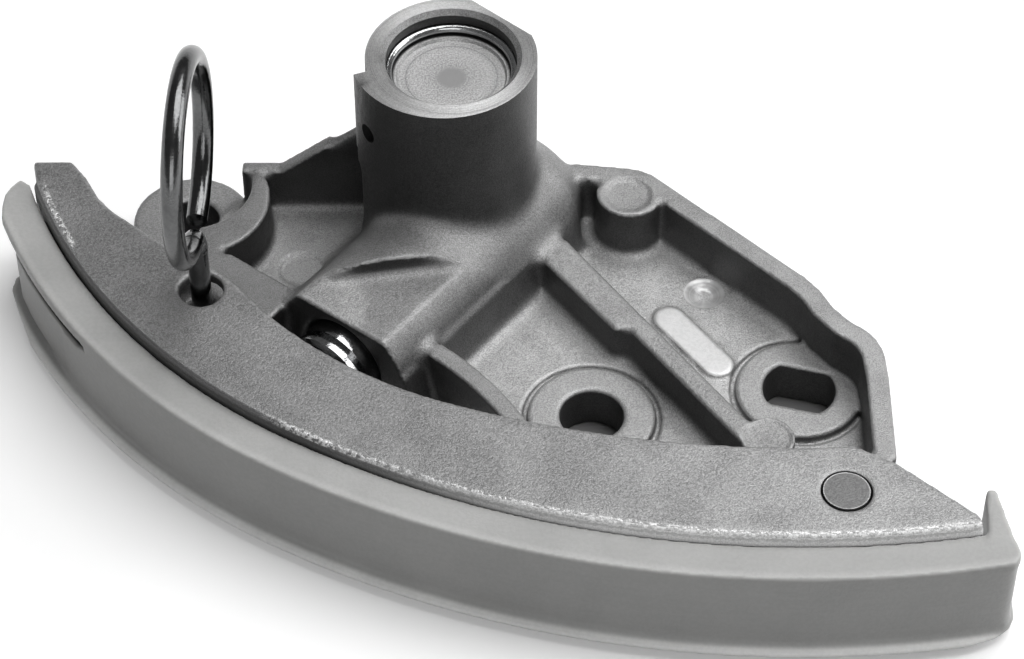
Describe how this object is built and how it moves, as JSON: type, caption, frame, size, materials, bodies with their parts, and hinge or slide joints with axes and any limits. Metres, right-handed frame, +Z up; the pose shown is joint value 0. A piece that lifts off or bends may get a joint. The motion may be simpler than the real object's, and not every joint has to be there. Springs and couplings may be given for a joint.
{
  "type": "timing chain tensioner",
  "caption": "Hydraulic timing chain tensioner: cast housing with bolt points and oil reservoir, piston, curved swing arm with a plastic chain lining, and a ring pin that locks the arm.",
  "frame": {"origin": "centre of the round bolt hole on the mounting face", "axes": "+X along the arm towards its pivot end, +Y from the arm towards the back of the housing, +Z up from the mounting face along the bolt hole"},
  "size_m": [0.1007, 0.0625, 0.0421],
  "materials": {
    "cast_housing": "rough die-cast skin with machined faces",
    "plug_metal": "turned",
    "ring_wire": "bright spring wire",
    "piston_steel": "polished",
    "spring_wire": "bare spring wire",
    "seat_steel": "turned",
    "ball_steel": "polished",
    "cage_sheet": "pressed sheet",
    "cast_arm": "rough die-cast skin",
    "lining_plastic": "smooth moulded plastic",
    "pivot_steel": "ground",
    "pin_wire": "bright plated wire"
  },
  "bodies": {
    "housing": {"housing": "cast_housing", "reservoir_plug": "plug_metal", "plug_snap_ring": "ring_wire", "piston_spring": "spring_wire", "valve_seat": "seat_steel", "check_ball": "ball_steel", "valve_cage": "cage_sheet", "pivot_pin": "pivot_steel"},
    "arm": {"arm": "cast_arm", "lining": "lining_plastic"},
    "piston": {"piston": "piston_steel"},
    "lock_pin": {"lock_pin": "pin_wire"}
  },
  "joints": [
    {"name": "arm_swing", "type": "hinge", "parent": "housing", "child": "arm", "pos_m": [0.0237, -0.0165, 0], "axis": [0, 0, 1], "range_deg": [0, 12]},
    {"name": "piston_slide", "type": "slide", "parent": "housing", "child": "piston", "axis": [-0.6032, -0.7976, 0], "range_m": [0, 0.011]},
    {"name": "pin_pull", "type": "slide", "parent": "housing", "child": "lock_pin", "axis": [0, 0, 1], "range_m": [0, 0.058]}
  ],
  "couplings": [
    {"joint": "piston_slide", "follows": "arm_swing", "m_per_rad": 0.0515},
    {"joint": "pin_pull", "follows": "arm_swing", "m_per_rad": 0.27}
  ]
}
